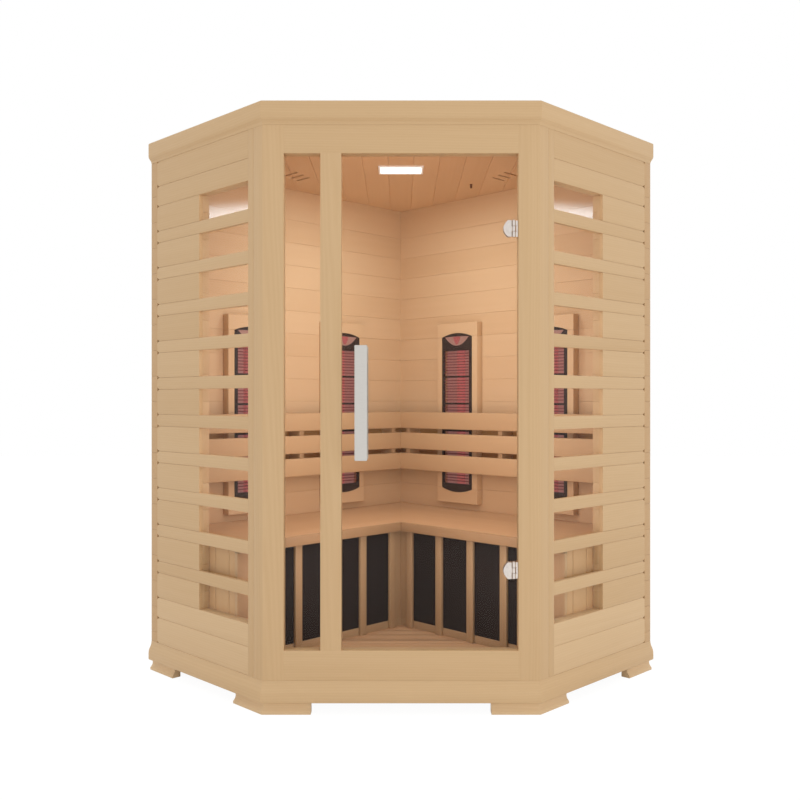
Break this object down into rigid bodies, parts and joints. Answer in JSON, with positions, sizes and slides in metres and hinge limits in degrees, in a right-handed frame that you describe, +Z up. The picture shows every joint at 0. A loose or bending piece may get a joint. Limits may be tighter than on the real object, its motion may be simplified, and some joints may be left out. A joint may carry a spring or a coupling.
{
  "type": "infrared sauna cabin",
  "caption": "Corner sauna cabin of wooden boards with slatted side windows, a hinged glass door, a corner bench, slatted backrests, wall heaters and carbon panels below the bench.",
  "frame": {"origin": "on the ground, at the middle of the bounding box", "axes": "+Z up, the glass door faces -Y, the back corner points to +Y, +X to the right as seen from the front"},
  "size_m": [1.8216, 1.4186, 1.9],
  "materials": {
    "shell_wood": "pale smooth softwood, matt clear coat",
    "lining_wood": "pale warm softwood boards, uncoated",
    "bench_wood": "warm softwood, sanded, uncoated",
    "floor_wood": "warm softwood boards, uncoated",
    "clear_glass": "clear toughened glass, polished edges",
    "handle_metal": "satin silver",
    "hinge_metal": "polished silver",
    "heater_black": "black, semi-matt",
    "heater_red": "glowing red ceramic emitter with its reflector",
    "carbon_sheet": "dark carbon heating sheet, matt",
    "lamp_white": "white diffuser",
    "dark_plastic": "dark grey moulded"
  },
  "bodies": {
    "cabin": {"ceiling_lamp": "lamp_white", "ceiling_panel": "lining_wood", "control_box": "dark_plastic", "floor_deck": "floor_wood", "front_cornice": "shell_wood", "front_plinth": "shell_wood", "head_rail": "shell_wood", "left_backrest": "bench_wood", "left_bench_end_panel": "bench_wood", "left_bench_guard": "bench_wood", "left_bench_top": "bench_wood", "left_carbon_panel": "carbon_sheet", "left_cladding": "shell_wood", "left_corner_post": "shell_wood", "left_cornice": "shell_wood", "left_inner_heater_casing": "lining_wood", "left_inner_heater_element": "heater_red", "left_inner_heater_housing": "heater_black", "left_outer_heater_casing": "lining_wood", "left_outer_heater_element": "heater_red", "left_outer_heater_housing": "heater_black", "left_plinth": "shell_wood", "left_speaker": "dark_plastic", "left_wall_panel": "lining_wood", "left_window_glass": "clear_glass", "lower_hinge_leaf": "hinge_metal", "lower_hinge_pin": "hinge_metal", "mullion": "shell_wood", "rear_left_wall": "lining_wood", "rear_plinth": "shell_wood", "rear_right_wall": "lining_wood", "right_backrest": "bench_wood", "right_bench_end_panel": "bench_wood", "right_bench_guard": "bench_wood", "right_bench_top": "bench_wood", "right_carbon_panel": "carbon_sheet", "right_cladding": "shell_wood", "right_corner_post": "shell_wood", "right_cornice": "shell_wood", "right_inner_heater_casing": "lining_wood", "right_inner_heater_element": "heater_red", "right_inner_heater_housing": "heater_black", "right_outer_heater_casing": "lining_wood", "right_outer_heater_element": "heater_red", "right_outer_heater_housing": "heater_black", "right_plinth": "shell_wood", "right_speaker": "dark_plastic", "right_wall_panel": "lining_wood", "right_window_glass": "clear_glass", "roof_cover": "shell_wood", "side_light_glass": "clear_glass", "sill_rail": "shell_wood", "temperature_sensor": "dark_plastic", "upper_hinge_leaf": "hinge_metal", "upper_hinge_pin": "hinge_metal"},
    "door": {"door_glass": "clear_glass", "outer_handle": "handle_metal", "inner_handle": "handle_metal", "upper_hinge_clamp": "hinge_metal", "lower_hinge_clamp": "hinge_metal"}
  },
  "joints": [
    {"name": "door_hinge", "type": "hinge", "parent": "cabin", "child": "door", "pos_m": [0.34992, -0.65731, 0.97], "axis": [0, 0, 1], "range_deg": [0, 105]}
  ]
}
